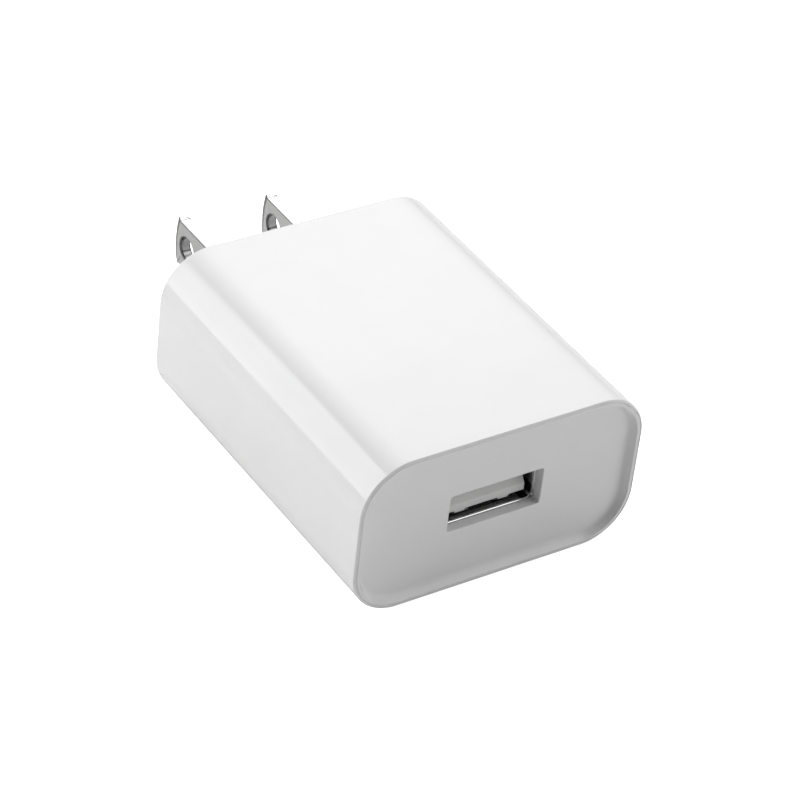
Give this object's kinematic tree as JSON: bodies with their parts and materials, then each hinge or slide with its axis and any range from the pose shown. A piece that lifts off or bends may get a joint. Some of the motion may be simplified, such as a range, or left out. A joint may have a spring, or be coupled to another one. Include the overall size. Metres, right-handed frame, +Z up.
{
  "type": "usb wall charger",
  "caption": "Small white wall charger: rounded box case, flat fixed outlet blades at the back and a USB-A socket in a recessed front.",
  "frame": {"origin": "on the outlet face, midway between the two blades", "axes": "+Y out of the back towards the outlet, +Z up, +X to the right seen from the USB side"},
  "size_m": [0.039, 0.0648, 0.0213],
  "materials": {
    "case_white": "glossy moulded plastic",
    "cover_white": "satin moulded plastic",
    "blade_nickel": "bright nickel plate",
    "insulator_ivory": "moulded, matte",
    "spring_bronze": "rolled strip",
    "board_green": "solder mask",
    "solder": "bright solder",
    "lead_tin": "tinned wire",
    "resistor_green": "lacquered",
    "sleeve_black": "shrink tube",
    "chip_black": "moulded epoxy",
    "can_aluminium": "drawn can",
    "sleeve_blue": "shrink sleeve",
    "bung_rubber": "moulded rubber",
    "ferrite": "ground ferrite",
    "copper_wire": "enamelled wire",
    "tape_yellow": "polyester tape",
    "disc_blue": "dipped epoxy",
    "ceramic_tan": "fired ceramic",
    "sheet_white": "insulating film",
    "usb_steel": "nickel-plated steel sheet",
    "tongue_white": "moulded, matte",
    "contact_gold": "gold-plated strip"
  },
  "bodies": {
    "charger": {"front_shell": "case_white", "rear_cover": "cover_white", "blade_left": "blade_nickel", "blade_right": "blade_nickel", "blade_retainer": "insulator_ivory", "mains_spring_left": "spring_bronze", "mains_spring_right": "spring_bronze", "circuit_board": "board_green", "solder_joints": "solder", "fusible_resistor": "resistor_green", "resistor_leads": "lead_tin", "resistor_sleeve": "sleeve_black", "bridge_rectifier": "chip_black", "bridge_leads": "lead_tin", "input_capacitor_left": "can_aluminium", "input_capacitor_right": "can_aluminium", "output_capacitor": "can_aluminium", "capacitor_sleeves": "sleeve_blue", "capacitor_bungs": "bung_rubber", "capacitor_leads": "lead_tin", "choke_core": "ferrite", "choke_winding": "copper_wire", "choke_sleeve": "sleeve_black", "transformer_core_front": "ferrite", "transformer_core_rear": "ferrite", "transformer_former": "insulator_ivory", "primary_winding": "copper_wire", "secondary_winding": "copper_wire", "winding_tape": "tape_yellow", "transformer_pins": "lead_tin", "safety_capacitor": "disc_blue", "safety_capacitor_leads": "lead_tin", "controller_chip": "chip_black", "controller_leads": "lead_tin", "output_diode": "chip_black", "diode_leads": "lead_tin", "chip_resistors": "chip_black", "chip_capacitors": "ceramic_tan", "chip_ends": "lead_tin", "insulation_sheet": "sheet_white", "usb_shell": "usb_steel", "usb_tongue": "tongue_white", "usb_contact_tails": "contact_gold"},
    "contact_1": {"usb_contact_1": "contact_gold"},
    "contact_2": {"usb_contact_2": "contact_gold"},
    "contact_3": {"usb_contact_3": "contact_gold"},
    "contact_4": {"usb_contact_4": "contact_gold"},
    "retention_left": {"usb_spring_left": "usb_steel"},
    "retention_right": {"usb_spring_right": "usb_steel"}
  },
  "joints": [
    {"name": "contact_1_flex", "type": "hinge", "parent": "charger", "child": "contact_1", "pos_m": [-0.0035, -0.03515, 0.00043], "axis": [1, 0, 0], "range_deg": [0, 3.2], "stiffness_Nm_per_rad": 0.1},
    {"name": "contact_2_flex", "type": "hinge", "parent": "charger", "child": "contact_2", "pos_m": [-0.001, -0.03515, 0.00043], "axis": [1, 0, 0], "range_deg": [0, 3.2], "stiffness_Nm_per_rad": 0.1},
    {"name": "contact_3_flex", "type": "hinge", "parent": "charger", "child": "contact_3", "pos_m": [0.001, -0.03515, 0.00043], "axis": [1, 0, 0], "range_deg": [0, 3.2], "stiffness_Nm_per_rad": 0.1},
    {"name": "contact_4_flex", "type": "hinge", "parent": "charger", "child": "contact_4", "pos_m": [0.0035, -0.03515, 0.00043], "axis": [1, 0, 0], "range_deg": [0, 3.2], "stiffness_Nm_per_rad": 0.1},
    {"name": "retention_left_flex", "type": "hinge", "parent": "charger", "child": "retention_left", "pos_m": [-0.0029, -0.0428, -0.00181], "axis": [-1, 0, 0], "range_deg": [0, 4], "stiffness_Nm_per_rad": 0.15},
    {"name": "retention_right_flex", "type": "hinge", "parent": "charger", "child": "retention_right", "pos_m": [0.0029, -0.0428, -0.00181], "axis": [-1, 0, 0], "range_deg": [0, 4], "stiffness_Nm_per_rad": 0.15}
  ]
}
